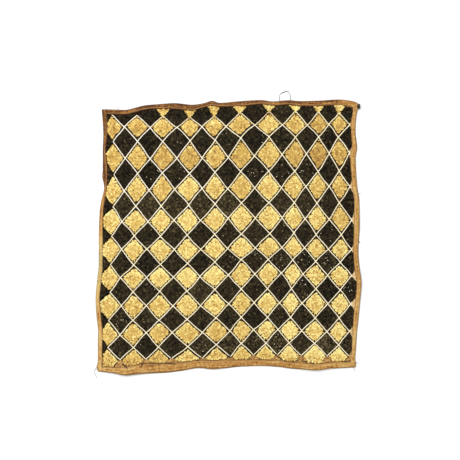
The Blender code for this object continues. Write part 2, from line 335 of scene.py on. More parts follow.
# Rows of black diamonds that are faded from end to end
Band = namedtuple("Band", "row first last amount")
BLACK_BANDS = (
    Band(6, 1, 9, 0.21),
    Band(6, 11, 15, 0.11),
)

# Places where pale ends of the ground show through the black pile, with how many there are
Speck = namedtuple("Speck", "column row reach count")
SPECKS = (
    Speck(3, 4, 1.0, 4),
    Speck(5, 4, 0.9, 4),
    Speck(1, 14, 0.8, 6),
    Speck(3, 12, 1.0, 3),
    Speck(2, 16, 1.0, 3),
    Speck(5, 2, 1.0, 3),
    Speck(9, 2, 0.9, 3),
    Speck(12, 2, 1.0, 5),
    Speck(13, 4, 1.0, 6),
    Speck(11, 4, 0.9, 8),
    Speck(15, 4, 1.0, 5),
    Speck(9, 8, 1.0, 2),
    Speck(13, 10, 0.9, 9),
    Speck(15, 10, 0.9, 9),
    Speck(17, 10, 0.9, 9),
    Speck(11, 10, 0.8, 5),
    Speck(19, 12, 0.9, 6),
    Speck(15, 12, 1.0, 6),
    Speck(13, 16, 1.0, 5),
    Speck(7, 16, 0.7, 3),
    Speck(9, 10, 1.0, 3),
    Speck(17, 8, 1.0, 4),
)
SPECK_SPREAD = 0.42
SPECK_MARGIN = 2.0
SPECK_LONG = (1.4, 3.4)
SPECK_WIDE = (0.9, 1.6)
SPECK_HIGH = 0.9
SPECK_RISE = 0.1
SPECK_TILT = 0.2
SPECK_TONES = (0.2, 0.9)

# Cut pile: tufts of raffia, drawn about twice as coarse as real ones so that they show
TUFT_PITCH = 3.3
TUFT_WIDTH = 4.8
TUFT_JITTER = 0.24
TUFT_LEAN = 0.14
TUFT_WOBBLE = (0.07, 0.08)
TUFT_WIDTHS = (0.85, 1.12)
TUFT_RAGGED = 0.25
GOLD_INSET = 5.6
GOLD_BLUNT = 0.9
BLACK_INSET = 3.6
BARE_INSET = -1.2
BARE_PALER = 0.2
BOTTOM_INSET = 4.6
HEMWARD_INSET = 3.4
HEM_MARGIN = 0.9
BOTTOM_MARGIN = 2.2
TURN_ROW = 7
TURN_COLUMN = 8
FIRST_CUT_COLUMN = 3

# Stem stitches along the lines: cream, paler at the top left, and golden along the top
LINE_PITCH = 4.0
LINE_STITCH = (8.0, 2.25, 1.9)
LINE_SIZES = (0.92, 1.08)
LINE_MARGIN = 2.4
LINE_TURN = 0.08
LINE_SLANT = 0.14
LINE_STRAY = 0.05
LINE_LEVEL = 2.3
LINE_STEP = 0.1
LINE_TONE = 0.58
LINE_TONE_SPREAD = 0.05
LINE_PALER = Tint(2, 2, 9, 0.34)
LINE_DRIFT = 0.18
LINE_DRIFT_RATE = 0.8
LINE_BROWN = 0.55
LINE_BROWN_RATE = 0.9
LINE_BROWN_FROM = 0.42
TOP_REACH = 1.0
TOP_GOLD = 0.16
GOLDEN_NECKS = (4, 6, 8, 12)
NECK_REACH = 0.5
NECK_GOLD = 0.36

# The dark outline just inside each gold diamond: in one run, or in dots that stand higher with gold between
Dark = namedtuple("Dark", "pitch stitch jitter kept rise")
DARK_RUN = Dark(2.6, (3.9, 2.6, 1.3), 0.15, 0.97, 0.0)
DARK_DOTS = {
    "upper": Dark(5.4, (4.4, 1.8, 1.3), 0.26, 0.85, 0.9),
    "lower": Dark(6.6, (4.4, 1.8, 1.3), 0.26, 0.85, 0.9),
}
DARK_LENGTHS = (0.75, 1.15)
DARK_WIDTHS = (0.85, 1.15)
DARK_STRAY = 0.08
DARK_TONES = (0.0, 0.5)
TOP_DOTS = 0.4
OUTLINE_OFFSET = 3.1
OUTLINE_LEVEL = 1.75
AHEAD = 0.02
FILL_OFFSET = 3.3
FILL_SHARE = 0.62
FILL_NEAR = 0.5

# The sides of a diamond, by the one of its two ways across on which each stands still
SIDES = {
    "upper right": (0.5, None),
    "lower left": (-0.5, None),
    "lower right": (None, 0.5),
    "upper left": (None, -0.5),
}

# Strokes from end to end where the outline runs on below the last row, or painted shade darkens the hem's
# inner edge
Stroke = namedtuple("Stroke", "x0 y0 x1 y1 wide tone")
STROKES = (
    Stroke(-243, -268, -251, -283, 2.8, 0.1),
    Stroke(-232, -279, -223, -287, 2.8, 0.1),
    Stroke(-187, -275, -193, -284, 2.6, 0.2),
    Stroke(-277, -278, -268, -283, 1.8, 0.6),
    Stroke(-173, -276, -150, -278, 2.4, 0.9),
    Stroke(-145, -275, -117, -278, 2.6, 0.8),
    Stroke(-73, -266, -66, -271, 2.4, 0.6),
    Stroke(-3, -262, 8, -264, 2.4, 0.5),
    Stroke(36, -266, 46, -267, 1.8, 0.9),
    Stroke(98, -259, 108, -262, 2.4, 0.8),
    Stroke(108, -262, 122, -271, 2.8, 0.6),
    Stroke(141, -272, 156, -269, 2.2, 0.8),
    Stroke(163, -271, 186, -278, 2.8, 0.7),
    Stroke(210, -264, 204, -274, 2.4, 0.3),
    Stroke(252, -273, 268, -271, 2.6, 0.7),
)
STROKE_PITCH = 2.4
STROKE_LONG = 4.2
STROKE_HIGH = 1.2
STROKE_SIZES = (0.7, 1.1)
STROKE_STRAY = 0.5
STROKE_TURN = 0.25
STROKE_TONES = 0.1
STROKE_ON_HEM = 0.92

# Small stitches that hold the hem down along its inner edge
HEM_STITCH_PITCH = 8.5
HEM_STITCH_PITCHES = (0.8, 1.2)
HEM_STITCH = (4.6, 0.9, 0.9)
HEM_STITCH_SIZES = (0.85, 1.15)
HEM_STITCH_ENDS = 10
HEM_STITCH_SLANT = 0.5
HEM_STITCH_STRAY = 0.2
HEM_STITCH_TILT = 0.35
HEM_STITCH_LEVEL = 0.62
HEM_STITCH_TONES = (0.0, 0.6)

# The thread loop on the top hem, lying on the ground
LOOP_DIAMETER = 0.9
LOOP_STARTS = 112.6
LOOP_ENDS = 135.6
THREAD_GAP = 0.35
THREAD_LEAVES = 1.7
THREAD_STEPS = 24
LOOP_BENDS = (
    (111.6, 305.5, 0.9),
    (112.0, 311.0, 0.5),
    (114.6, 316.4, 0.5),
    (119.9, 319.2, 0.5),
    (126.3, 321.4, 0.5),
    (132.0, 319.0, 0.5),
    (135.4, 314.4, 0.5),
    (136.5, 308.6, 0.8),
)

# The turns of thread in the loop's knot: place, turn, size and tone
LOOP_KNOT = (
    ((126.3, 321.2, 0.8), (0.0, 0.0, 0.3), (2.6, 1.9, 1.5), 0.0),
    ((126.7, 321.4, 1.2), (0.0, 0.3, 1.5), (2.1, 1.5, 1.3), 0.1),
    ((120.6, 319.2, 0.8), (0.0, 0.0, 0.42), (11.5, 1.8, 1.4), 0.1),
)

# Loose ends of thread at the hem and at the knot, with their diameters
Frayed = namedtuple("Frayed", "diameter points")
FRAYED = (
    Frayed(0.7, ((-288.5, -284.0, 1.6), (-291.8, -288.2, 0.9), (-295.0, -292.6, 0.5), (-295.9, -296.4, 0.4),
                 (-294.0, -300.2, 0.4), (-291.5, -304.2, 0.4), (-290.2, -309.0, 0.4))),
    Frayed(0.6, ((276.0, -273.0, 3.6), (279.6, -274.6, 2.4), (283.4, -276.0, 0.8), (286.2, -277.4, 0.4))),
    Frayed(0.6, ((272.0, -284.0, 1.4), (275.4, -288.4, 0.5), (277.8, -292.6, 0.4), (279.8, -294.0, 0.4))),
    Frayed(0.6, ((283.5, 96.0, 2.2), (287.4, 97.0, 0.8), (291.0, 96.6, 0.4))),
    Frayed(1.5, ((284.6, -8.8, 2.0), (287.4, -9.8, 1.2), (289.4, -10.6, 0.8))),
    Frayed(0.6, ((-243.5, 281.0, 3.0), (-243.0, 284.6, 1.2), (-244.0, 288.0, 0.4))),
    Frayed(0.45, ((127.0, 321.6, 0.9), (130.4, 322.9, 0.4), (133.6, 323.2, 0.3), (136.4, 323.9, 0.3))),
)

# Dark ends of the rolled hem, gathered at the top right corner: place, turn, size and tone
CORNER_KNOT = (
    ((286.2, 290.0, 4.5), (0.0, 0.1, 1.4), (7.6, 6.2, 4.4), 0.3),
    ((286.4, 285.6, 4.4), (0.1, 0.0, 1.7), (7.4, 5.8, 4.2), 0.3),
    ((283.4, 288.0, 5.0), (0.0, 0.2, 1.1), (5.4, 3.2, 2.4), 0.3),
)

# The cloth: grid cells to half a column, slots of its materials, its weave, and the relief of its hem
CELLS_A_HALF = 9
BACK_SLOT = 1
HEM_SLOT = 2
WEAVE = 1.6
GROUND_RIPPLE = 0.12
RIPPLE_LONG = 5.0
WELD = 0.02
HEM_STRANDS = 3.0
HEM_STRAND = 0.20
STRAND_DRIFT = 30.0
HEM_BILLOW = 0.35
BILLOW_LONG = 8.0
BILLOW_TURNS = 2.5
HEM_CREASE = 0.55
CREASE_STRAY = 0.3
CREASE_WIDE = 1.4
CREASE_TO = 0.7
# A painted highlight along the hem's roll: how far across it lies, and how wide
HEM_HIGHLIGHT_AT = 3.0
HEM_HIGHLIGHT_WIDTH = 0.9
# Painted shade at the hem's outer and inner edges, the inner one by side
OUTER_SHADE_FROM = 0.78
INNER_SHADE_TO = 0.26
INNER_SHADE = {"top": 0.9, "left": 0.7, "right": 0.35, "bottom": 0.7}

# How tones vary: from diamond to diamond and from tuft to tuft; and painted light, which makes gold tufts
# paler towards a diamond's upper sides and along its edges
DIAMOND_DRIFT = 0.07
TUFT_DRIFT = 0.19
UPPER_PAINTED_LIGHT = 0.14
EDGE_PAINTED_LIGHT = 0.15
EDGE_REACH = 4.5

# One tuft or stitch
Spot = namedtuple("Spot", "place turn size tone")

# The paper under the cloth and the light
FLOOR_SIZE = 8000.0
FLOOR_DROP = 0.3
ROOM_LIGHT = 0.85
LAMP_POWER = 30.0
LAMP_SIZE = 1.2
LAMP_PLACE = (-0.9, 1.1, 1.9)


def linear(code):
    """Turns an sRGB hex value into a linear colour."""
    shares = [int(code[i:i + 2], 16) / 255 for i in (0, 2, 4)]
    return [s / 12.92 if s <= 0.04045 else ((s + 0.055) / 1.055) ** 2.4 for s in shares] + [1.0]


def add_node(tree, kind, inputs=(), **settings):
    """Adds a node with its settings. A named input gets a value, a hex colour or another node."""
    made = tree.nodes.new(kind)
    for name, value in settings.items():
        setattr(made, name, value)
    for name, value in dict(inputs).items():
        socket = made.inputs[name] if isinstance(name, int) else next(
            socket for socket in made.inputs if socket.enabled and socket.name == name)
        if isinstance(value, bpy.types.Node):
            value = next(output for output in value.outputs if output.enabled)
        if isinstance(value, bpy.types.NodeSocket):
            tree.links.new(value, socket)
        elif socket.type == "RGBA":
            socket.default_value = linear(value)
        else:
            socket.default_value = value
    return made


# Shape of the cloth


class Run:
    """A smooth curve through values at stations, which turns only at its stations."""

    def __init__(self, stations, values):
        self.stations = list(stations)
        self.values = list(values)
        self.spans = [b - a for a, b in zip(self.stations, self.stations[1:])]
        slopes = [(b - a) / span for a, b, span in zip(self.values, self.values[1:], self.spans)]
        self.leans = [slopes[0]]
        for before, after in zip(slopes, slopes[1:]):
            turns = before * after <= 0
            self.leans.append(0.0 if turns else 2 * before * after / (before + after))
        self.leans.append(slopes[-1])

    def at(self, place):
        if place <= self.stations[0]:
            return self.values[0]
        if place >= self.stations[-1]:
            return self.values[-1]
        k = bisect_right(self.stations, place) - 1
        span = self.spans[k]
        t = (place - self.stations[k]) / span
        rise = self.values[k] + (self.values[k + 1] - self.values[k]) * t * t * (3 - 2 * t)
        return rise + span * t * (1 - t) * (self.leans[k] * (1 - t) - self.leans[k + 1] * t)


COLUMN_RUNS = [Run(COLUMN_STATIONS, column) for column in COLUMNS]
ROW_RUNS = [Run(ROW_STATIONS, row) for row in ROWS]
OUTER = {side: Run([h.along for h in hem], [h.outer for h in hem]) for side, hem in HEMS.items()}
INNER = {side: Run([h.along for h in hem], [h.inner for h in hem]) for side, hem in HEMS.items()}
DYE_RUNS = {side: Run([at for at, _ in dye], [share for _, share in dye]) for side, dye in DYES.items()}


def between(runs, place, station):
    """Reads a table of lines between two of its rows."""
    first = min(max(int(place), 0), len(runs) - 2)
    low = runs[first].at(station)
    high = runs[first + 1].at(station)
    return low + (high - low) * (place - first)


def field_x(u, v, y):
    """Across the field: the columns, and past the outer ones the way to the hem."""
    column = between(COLUMN_RUNS, min(max(u, 0), LAST_COLUMN), v)
    left = INNER["left"].at(y)
    right = INNER["right"].at(y)
    column = min(max(column, left + LEAST_REST), right - LEAST_REST)
    if u < 0:
        return column + (left - column) * u / FIELD_LEFT
    if u > LAST_COLUMN:
        return column + (right - column) * (u - LAST_COLUMN) / (FIELD_RIGHT - LAST_COLUMN)
    return column


def field_y(u, v, x):
    """Down the field: the rows, and past the outer ones the way to the hem."""
    row = between(ROW_RUNS, min(max(v, 0), LAST_ROW), u)
    top = INNER["top"].at(x)
    bottom = INNER["bottom"].at(x)
    row = min(max(row, bottom + LEAST_REST), top - LEAST_REST)
    if v < 0:
        return row + (top - row) * v / FIELD_TOP
    if v > LAST_ROW:
        return row + (bottom - row) * (v - LAST_ROW) / (FIELD_BOTTOM - LAST_ROW)
    return row


@lru_cache(maxsize=None)
def field_point(u, v):
    """Where a point of the lattice lies on the cloth."""
    x = between(COLUMN_RUNS, min(max(u, 0), LAST_COLUMN), v)
    y = between(ROW_RUNS, min(max(v, 0), LAST_ROW), u)
    for _ in range(4):
        x = field_x(u, v, y)
        y = field_y(u, v, x)
    rim = min(u - FIELD_LEFT, FIELD_RIGHT - u, v - FIELD_TOP, FIELD_BOTTOM - v)
    most = SWAY * min(1.0, max(0.0, rim))
    sway_x, sway_y = (noise.noise(Vector((u, v, layer)) * SWAY_RATE) * most for layer in SWAY_LAYERS)
    return Vector((x + sway_x, y + sway_y))


def same(a, b):
    return abs(a - b) < 0.001


def sides_of(u, v):
    """The sides of the field that a rim point lies on."""
    flat = "left" if same(u, FIELD_LEFT) else "right" if same(u, FIELD_RIGHT) else None
    tall = "top" if same(v, FIELD_TOP) else "bottom" if same(v, FIELD_BOTTOM) else None
    return flat, tall


def mitre_shift(inner, axis, ends):
    """How far the hem's outer edge is shifted along its side, towards the nearer corner."""
    shift = 0.0
    for inner_corner, outer_corner in ends:
        away = abs(inner[axis] - inner_corner[axis])
        shift += (outer_corner[axis] - inner_corner[axis]) * max(0.0, 1 - away / MITRE)
    return shift


@lru_cache(maxsize=None)
def hem_outer(u, v):
    """The hem's outer edge beyond a rim point."""
    flat, tall = sides_of(u, v)
    if flat and tall:
        return Vector(CORNERS[flat, tall])
    inner = field_point(u, v)
    if tall:
        ends = [(field_point(at, v), CORNERS[side, tall])
                for side, at in (("left", FIELD_LEFT), ("right", FIELD_RIGHT))]
        x = inner.x + mitre_shift(inner, 0, ends)
        return Vector((x, OUTER[tall].at(x)))
    ends = [(field_point(u, at), CORNERS[flat, side])
            for side, at in (("top", FIELD_TOP), ("bottom", FIELD_BOTTOM))]
    y = inner.y + mitre_shift(inner, 1, ends)
    return Vector((OUTER[flat].at(y), y))


def hem_crest(y):
    """The hem is rolled tighter, and so stands higher, towards the top."""
    share = (y / HALF_HEIGHT + 1) / 2
    return BOTTOM_CREST + (TOP_CREST - BOTTOM_CREST) * share


def lift(x, y):
    """How far the cloth stands off the ground."""
    height = 0.0
    for place in LIFTS:
        near = 1 - math.hypot(x - place.x, y - place.y) / place.reach
        if near > 0:
            height += place.rise * near * near * (3 - 2 * near)
    return height


def inside_hem(point, margin):
    """True where a point lies on the open field, at least the margin in from the hem."""
    x, y = point.x, point.y
    clear_x = INNER["left"].at(y) + margin < x < INNER["right"].at(y) - margin
    return clear_x and INNER["bottom"].at(x) + margin < y < INNER["top"].at(x) - margin


def soft_sum(tints, u, v):
    """Adds up the soft patches of a table at one point of the lattice."""
    total = 0.0
    for tint in tints:
        near = 1 - math.hypot(u - tint.column, v - tint.row) / tint.reach
        if near > 0:
            total += tint.amount * near * near * (3 - 2 * near)
    return total


def band_sum(bands, u, v):
    """Adds up the faded bands that a diamond lies in."""
    return sum(band.amount for band in bands if v == band.row and band.first <= u <= band.last)


# Materials


def new_material(name, **sockets):
    """A material with a few plain values on its shader, named as there."""
    material = bpy.data.materials.new(name)
    material.use_nodes = True
    shader = material.node_tree.nodes["Principled BSDF"]
    for socket in shader.inputs:
        key = socket.name.lower().replace(" ", "_")
        if key in sockets:
            socket.default_value = sockets[key]
    return material, partial(add_node, material.node_tree), shader


def finish_material(material, shader, colour, height, strength, depth):
    """Links a colour and a bump of that depth in millimetres to a material's shader."""
    tree = material.node_tree
    raised = add_node(tree, "ShaderNodeBump", {
        "Height": height, "Strength": strength, "Distance": depth * MM})
    tree.links.new(raised.outputs[0], shader.inputs["Normal"])
    tree.links.new(next(output for output in colour.outputs if output.enabled), shader.inputs["Base Color"])
    return material


def fibres(node, place, width, length):
    """Fibres of that size in millimetres, which run along the first axis of the place."""
    scaled = node("ShaderNodeMapping", {
        "Vector": place, "Scale": (1 / (length * MM), 1 / (width * MM), 1 / (width * MM))})
    return node("ShaderNodeTexNoise", {"Vector": scaled, "Scale": 1.0, "Detail": 2.0, "Roughness": 0.6})


def plain_weave(node, place, pitch):
    """Ridges a pitch apart both ways, in millimetres, each set over the other in turn."""
    turned = node("ShaderNodeVectorMath", {
        0: place, 1: (math.pi / (pitch * MM),) * 3}, operation="MULTIPLY")
    parts = node("ShaderNodeSeparateXYZ", {0: turned})
    across = node("ShaderNodeMath", {0: parts.outputs["X"]}, operation="SINE")
    down = node("ShaderNodeMath", {0: parts.outputs["Y"]}, operation="SINE")
    return node("ShaderNodeMath", {0: across, 1: down}, operation="MULTIPLY")


def lattice_cells(node, u, v):
    """Along both diagonals of the lattice, the number of lines passed."""
    rising = node("ShaderNodeMath", {0: u, 1: v}, operation="ADD")
    falling = node("ShaderNodeMath", {0: u, 1: v}, operation="SUBTRACT")
    return [node("ShaderNodeMath", {0: run, 1: 0.5}, operation="MULTIPLY") for run in (rising, falling)]


def gold_cells(node, cells):
    """1 in the gold diamonds and 0 in the black ones."""
    whole = [node("ShaderNodeMath", {0: cell}, operation="FLOOR") for cell in cells]
    both = node("ShaderNodeMath", {0: whole[0], 1: whole[1]}, operation="ADD")
    return node("ShaderNodeMath", {0: both, 1: 2.0}, operation="FLOORED_MODULO")


def lattice_place(node):
    """The half column and the half row of a place on the cloth."""
    lattice = node("ShaderNodeAttribute", attribute_name="lattice").outputs["Vector"]
    parts = node("ShaderNodeSeparateXYZ", {0: lattice})
    return parts.outputs["X"], parts.outputs["Y"]


def off_lines(node, cells, rule):
    """How far a place is from the nearest line of each diagonal, the two joined by MINIMUM or ADD."""
    away = [node("ShaderNodeMath", {0: cell, 1: 0.5}, operation="PINGPONG") for cell in cells]
    return node("ShaderNodeMath", {0: away[0], 1: away[1]}, operation=rule)


def own_tone(node, tones):
    """The colour that goes with a tuft's or a stitch's own tone, from dark through middle to pale."""
    dark, middle, pale = tones
    tone = node("ShaderNodeAttribute", attribute_name="tone").outputs["Fac"]
    low = node("ShaderNodeMapRange", {"Value": tone, "From Min": 0.0, "From Max": 0.5})
    high = node("ShaderNodeMapRange", {"Value": tone, "From Min": 0.5, "From Max": 1.0})
    lower = node("ShaderNodeMix", {"Factor": low, "A": dark, "B": middle}, data_type="RGBA")
    return node("ShaderNodeMix", {"Factor": high, "A": lower, "B": pale}, data_type="RGBA")


def ground_material():
    """Woven raffia under the pile: golden among gold tufts, bare tan by the hem, and elsewhere nearly black,
    which is painted shade among the black tufts and in the grooves by the lines.
    """
    material, node, shader = new_material("woven raffia ground", roughness=0.85, specular_ior_level=0.1)
    u, v = lattice_place(node)
    cells = lattice_cells(node, u, v)
    gold = gold_cells(node, cells)
    clear = off_lines(node, cells, "MINIMUM")
    inner = node("ShaderNodeMapRange", {"Value": clear, "From Min": 0.11, "From Max": 0.15})
    both = off_lines(node, cells, "ADD")
    blunt = node("ShaderNodeMapRange", {"Value": both, "From Min": 0.27, "From Max": 0.31})
    blunted = node("ShaderNodeMath", {0: inner, 1: blunt}, operation="MULTIPLY")
    within = node("ShaderNodeMath", {0: v, 1: 0.0}, operation="GREATER_THAN")
    whole = node("ShaderNodeMath", {0: blunted, 1: within}, operation="MULTIPLY")
    topmost = node("ShaderNodeMath", {0: v, 1: 0.0}, operation="LESS_THAN")
    cut = node("ShaderNodeMath", {0: u, 1: float(FIRST_CUT_COLUMN)}, operation="GREATER_THAN")
    wedges = node("ShaderNodeMath", {0: topmost, 1: cut}, operation="MULTIPLY")
    covered = node("ShaderNodeMath", {0: whole, 1: wedges}, operation="MAXIMUM")
    golden = node("ShaderNodeMath", {0: gold, 1: covered}, operation="MULTIPLY")
    # The near-black colour is painted shade: among the black tufts and in the grooves by the stitched lines
    gold_ground_and_shade = node("ShaderNodeMix", {"Factor": golden, "A": "180f08", "B": "cf983c"}, data_type="RGBA")
    past = node("ShaderNodeMath", {0: u, 1: float(LAST_COLUMN)}, operation="GREATER_THAN")
    wedge = node("ShaderNodeMath", {0: past, 1: gold}, operation="MULTIPLY")
    open_side = node("ShaderNodeMix", {"Factor": wedge, "A": gold_ground_and_shade, "B": "efcf98"}, data_type="RGBA")
    place = node("ShaderNodeTexCoord").outputs["Object"]
    strands = fibres(node, place, 3.4, 4.6)
    rubbed_and_highlit = node("ShaderNodeMapRange", {"Value": strands, "From Min": 0.36, "From Max": 0.6})
    bare = node("ShaderNodeMix", {"Factor": rubbed_and_highlit, "A": "8c5a2c", "B": "e0b26c"}, data_type="RGBA")
    below = node("ShaderNodeMath", {0: v, 1: float(LAST_ROW)}, operation="GREATER_THAN")
    open_ground = node("ShaderNodeMix", {"Factor": below, "A": open_side, "B": bare}, data_type="RGBA")
    grain = fibres(node, place, 0.8, 3.0)
    shaded = node("ShaderNodeMapRange", {"Value": grain, "From Min": 0.35, "From Max": 0.75, "To Max": 0.5})
    colour = node("ShaderNodeMix", {"Factor": shaded, "A": open_ground, "B": "2a1d10"}, data_type="RGBA")
    return finish_material(material, shader, colour, plain_weave(node, place, WEAVE), 0.7, 0.4)


def back_material():
    """Plain straw-tan weave, with the back stitches of the lines and the dyed pile showing through."""
    material, node, shader = new_material("woven raffia back", roughness=0.8)
    cells = lattice_cells(node, *lattice_place(node))
    place = node("ShaderNodeTexCoord").outputs["Object"]
    weave = plain_weave(node, place, WEAVE)
    slub = fibres(node, place, 1.2, 22.0)
    straw = node("ShaderNodeMix", {"Factor": slub, "A": "a67c42", "B": "d9b97c"}, data_type="RGBA")
    shown = node("ShaderNodeMapRange", {"Value": gold_cells(node, cells), "To Min": 0.34, "To Max": 0.0})
    through = node("ShaderNodeMix", {"Factor": shown, "A": straw, "B": "57452c"}, data_type="RGBA")
    # Painted shade: darker in the hollows of the weave
    hollow_shade = node("ShaderNodeMapRange", {
        "Value": weave, "From Min": -0.2, "From Max": -1.0, "To Max": 0.45})
    woven = node("ShaderNodeMix", {"Factor": hollow_shade, "A": through, "B": "6d4e26"}, data_type="RGBA")
    clear = off_lines(node, cells, "MINIMUM")
    line = node("ShaderNodeMapRange", {"Value": clear, "From Min": 0.026, "From Max": 0.016})
    dash = node("ShaderNodeTexNoise", {"Vector": place, "Scale": 1 / (3.0 * MM), "Detail": 0.0})
    there = node("ShaderNodeMapRange", {"Value": dash, "From Min": 0.42, "From Max": 0.5})
    stitch = node("ShaderNodeMath", {0: line, 1: there}, operation="MULTIPLY")
    colour = node("ShaderNodeMix", {"Factor": stitch, "A": woven, "B": "eedcb4"}, data_type="RGBA")
    return finish_material(material, shader, colour, weave, 0.8, 0.5)


def hem_material():
    """Rolled raffia: long tan and red-brown streaks, a painted highlight along its roll, and painted shade
    at its edges.
    """
    material, node, shader = new_material("rolled raffia hem", roughness=0.72, specular_ior_level=0.2)
    dye = node("ShaderNodeAttribute", attribute_name="dye").outputs["Fac"]
    edge = node("ShaderNodeAttribute", attribute_name="edge").outputs["Fac"]
    run = node("ShaderNodeAttribute", attribute_name="run").outputs["Vector"]
    streaks = fibres(node, run, 1.7, 40.0)
    patches = fibres(node, run, 9.0, 5.0)
    streaked = node("ShaderNodeMapRange", {
        "Value": streaks, "From Min": 0.3, "From Max": 0.7, "To Min": -0.42, "To Max": 0.42})
    patched = node("ShaderNodeMapRange", {
        "Value": patches, "From Min": 0.3, "From Max": 0.7, "To Min": -0.28, "To Max": 0.28})
    first = node("ShaderNodeMath", {0: dye, 1: streaked}, operation="ADD")
    depth = node("ShaderNodeMath", {0: first, 1: patched}, operation="ADD")
    bleached = node("ShaderNodeMapRange", {"Value": depth, "From Min": -0.5, "From Max": 0.0})
    low = node("ShaderNodeMapRange", {"Value": depth, "From Min": 0.0, "From Max": 0.5})
    high = node("ShaderNodeMapRange", {"Value": depth, "From Min": 0.5, "From Max": 1.0})
    straw = node("ShaderNodeMix", {"Factor": bleached, "A": "a8935a", "B": "d2b26f"}, data_type="RGBA")
    tan = node("ShaderNodeMix", {"Factor": low, "A": straw, "B": "b07a38"}, data_type="RGBA")
    dyed = node("ShaderNodeMix", {"Factor": high, "A": tan, "B": "563012"}, data_type="RGBA")
    across = node("ShaderNodeSeparateXYZ", {0: run}).outputs["Y"]
    # Painted highlight: a paler band along the roll, in patches
    from_fold = node("ShaderNodeMath", {
        0: across, 1: HEM_HIGHLIGHT_AT * MM, 2: HEM_HIGHLIGHT_WIDTH * MM}, operation="COMPARE")
    worn_and_highlit = node("ShaderNodeMapRange", {
        "Value": patches, "From Min": 0.38, "From Max": 0.62, "To Min": 0.05, "To Max": 0.4})
    fold_highlight = node("ShaderNodeMath", {0: from_fold, 1: worn_and_highlit}, operation="MULTIPLY")
    rubbed_and_highlit = node("ShaderNodeMix", {"Factor": fold_highlight, "A": dyed, "B": "dfb27a"}, data_type="RGBA")
    # Painted shade at the hem's outer and inner edges, in patches
    patchy_shade = node("ShaderNodeMapRange", {
        "Value": patches, "From Min": 0.62, "From Max": 0.42, "To Min": 0.3, "To Max": 0.95})
    edge_shade = node("ShaderNodeMath", {0: edge, 1: patchy_shade}, operation="MULTIPLY")
    colour = node("ShaderNodeMix", {"Factor": edge_shade, "A": rubbed_and_highlit, "B": "27160a"}, data_type="RGBA")
    return finish_material(material, shader, colour, streaks, 0.6, 0.5)


def pile_material(name, tones, drift, size, gloss):
    """Cut raffia ends with a soft sheen: each tuft has its own tone, and patches drift to another colour."""
    material, node, shader = new_material(name, roughness=0.8, specular_ior_level=gloss)
    place = node("ShaderNodeTexCoord").outputs["Object"]
    toned = own_tone(node, tones)
    patches = node("ShaderNodeTexNoise", {"Vector": place, "Scale": 1 / (size * MM), "Detail": 2.0})
    share = node("ShaderNodeMapRange", {
        "Value": patches, "From Min": 0.45, "From Max": 0.75, "To Max": drift[1]})
    colour = node("ShaderNodeMix", {"Factor": share, "A": toned, "B": drift[0]}, data_type="RGBA")
    ends = fibres(node, place, 0.35, 0.35)
    return finish_material(material, shader, colour, ends, 0.5, 0.3)


def thread_material(name, tones, roughness):
    """Twisted raffia thread: a slight gloss and fine ridges of its strands along the stitch."""
    material, node, shader = new_material(name, roughness=roughness)
    place = node("ShaderNodeTexCoord").outputs["Object"]
    toned = own_tone(node, tones)
    strands = node("ShaderNodeTexNoise", {"Vector": place, "Scale": 1 / (0.7 * MM), "Detail": 2.0})
    worn_and_highlit = node("ShaderNodeMapRange", {"Value": strands, "From Min": 0.5, "From Max": 0.8, "To Max": 0.15})
    colour = node("ShaderNodeMix", {"Factor": worn_and_highlit, "A": toned, "B": tones[0]}, data_type="RGBA")
    return finish_material(material, shader, colour, strands, 0.4, 0.2)


def floor_material():
    """Matt white paper, lit to the edge of plain white."""
    material, node, shader = new_material("white paper floor", roughness=0.95, specular_ior_level=0.1)
    place = node("ShaderNodeTexCoord").outputs["Object"]
    tooth = node("ShaderNodeTexNoise", {"Vector": place, "Scale": 1 / (4.0 * MM), "Detail": 3.0})
    colour = node("ShaderNodeMix", {"Factor": tooth, "A": "fbfbfa", "B": "fdfdfc"}, data_type="RGBA")
    return finish_material(material, shader, colour, tooth, 0.02, 0.1)


# Pieces


def link(name, data):
    thing = bpy.data.objects.new(name, data)
    bpy.context.scene.collection.objects.link(thing)
    return thing


def seed_tuft():
    """One tuft of cut pile, wider at its cut end: one unit in radius and one in height."""
    bm = bmesh.new()
    bmesh.ops.create_cone(bm, cap_ends=True, segments=5, radius1=0.8, radius2=1.0, depth=1.0)
    bmesh.ops.translate(bm, verts=bm.verts, vec=(0, 0, 0.5))
    bmesh.ops.poke(bm, faces=[face for face in bm.faces if face.normal.z > 0.9], offset=0.10)
    mesh = bpy.data.meshes.new("tuft")
    bm.to_mesh(mesh)
    bm.free()
    return mesh


def seed_stitch(segments, rings):
    """One stitch: a spindle along X, one unit long, wide and high."""
    bm = bmesh.new()
    bmesh.ops.create_uvsphere(bm, u_segments=segments, v_segments=rings, radius=0.5)
    bmesh.ops.rotate(bm, verts=bm.verts, matrix=Matrix.Rotation(math.pi / 2, 3, "Y"))
    mesh = bpy.data.meshes.new("stitch")
    bm.to_mesh(mesh)
    bm.free()
    mesh.shade_smooth()
    return mesh


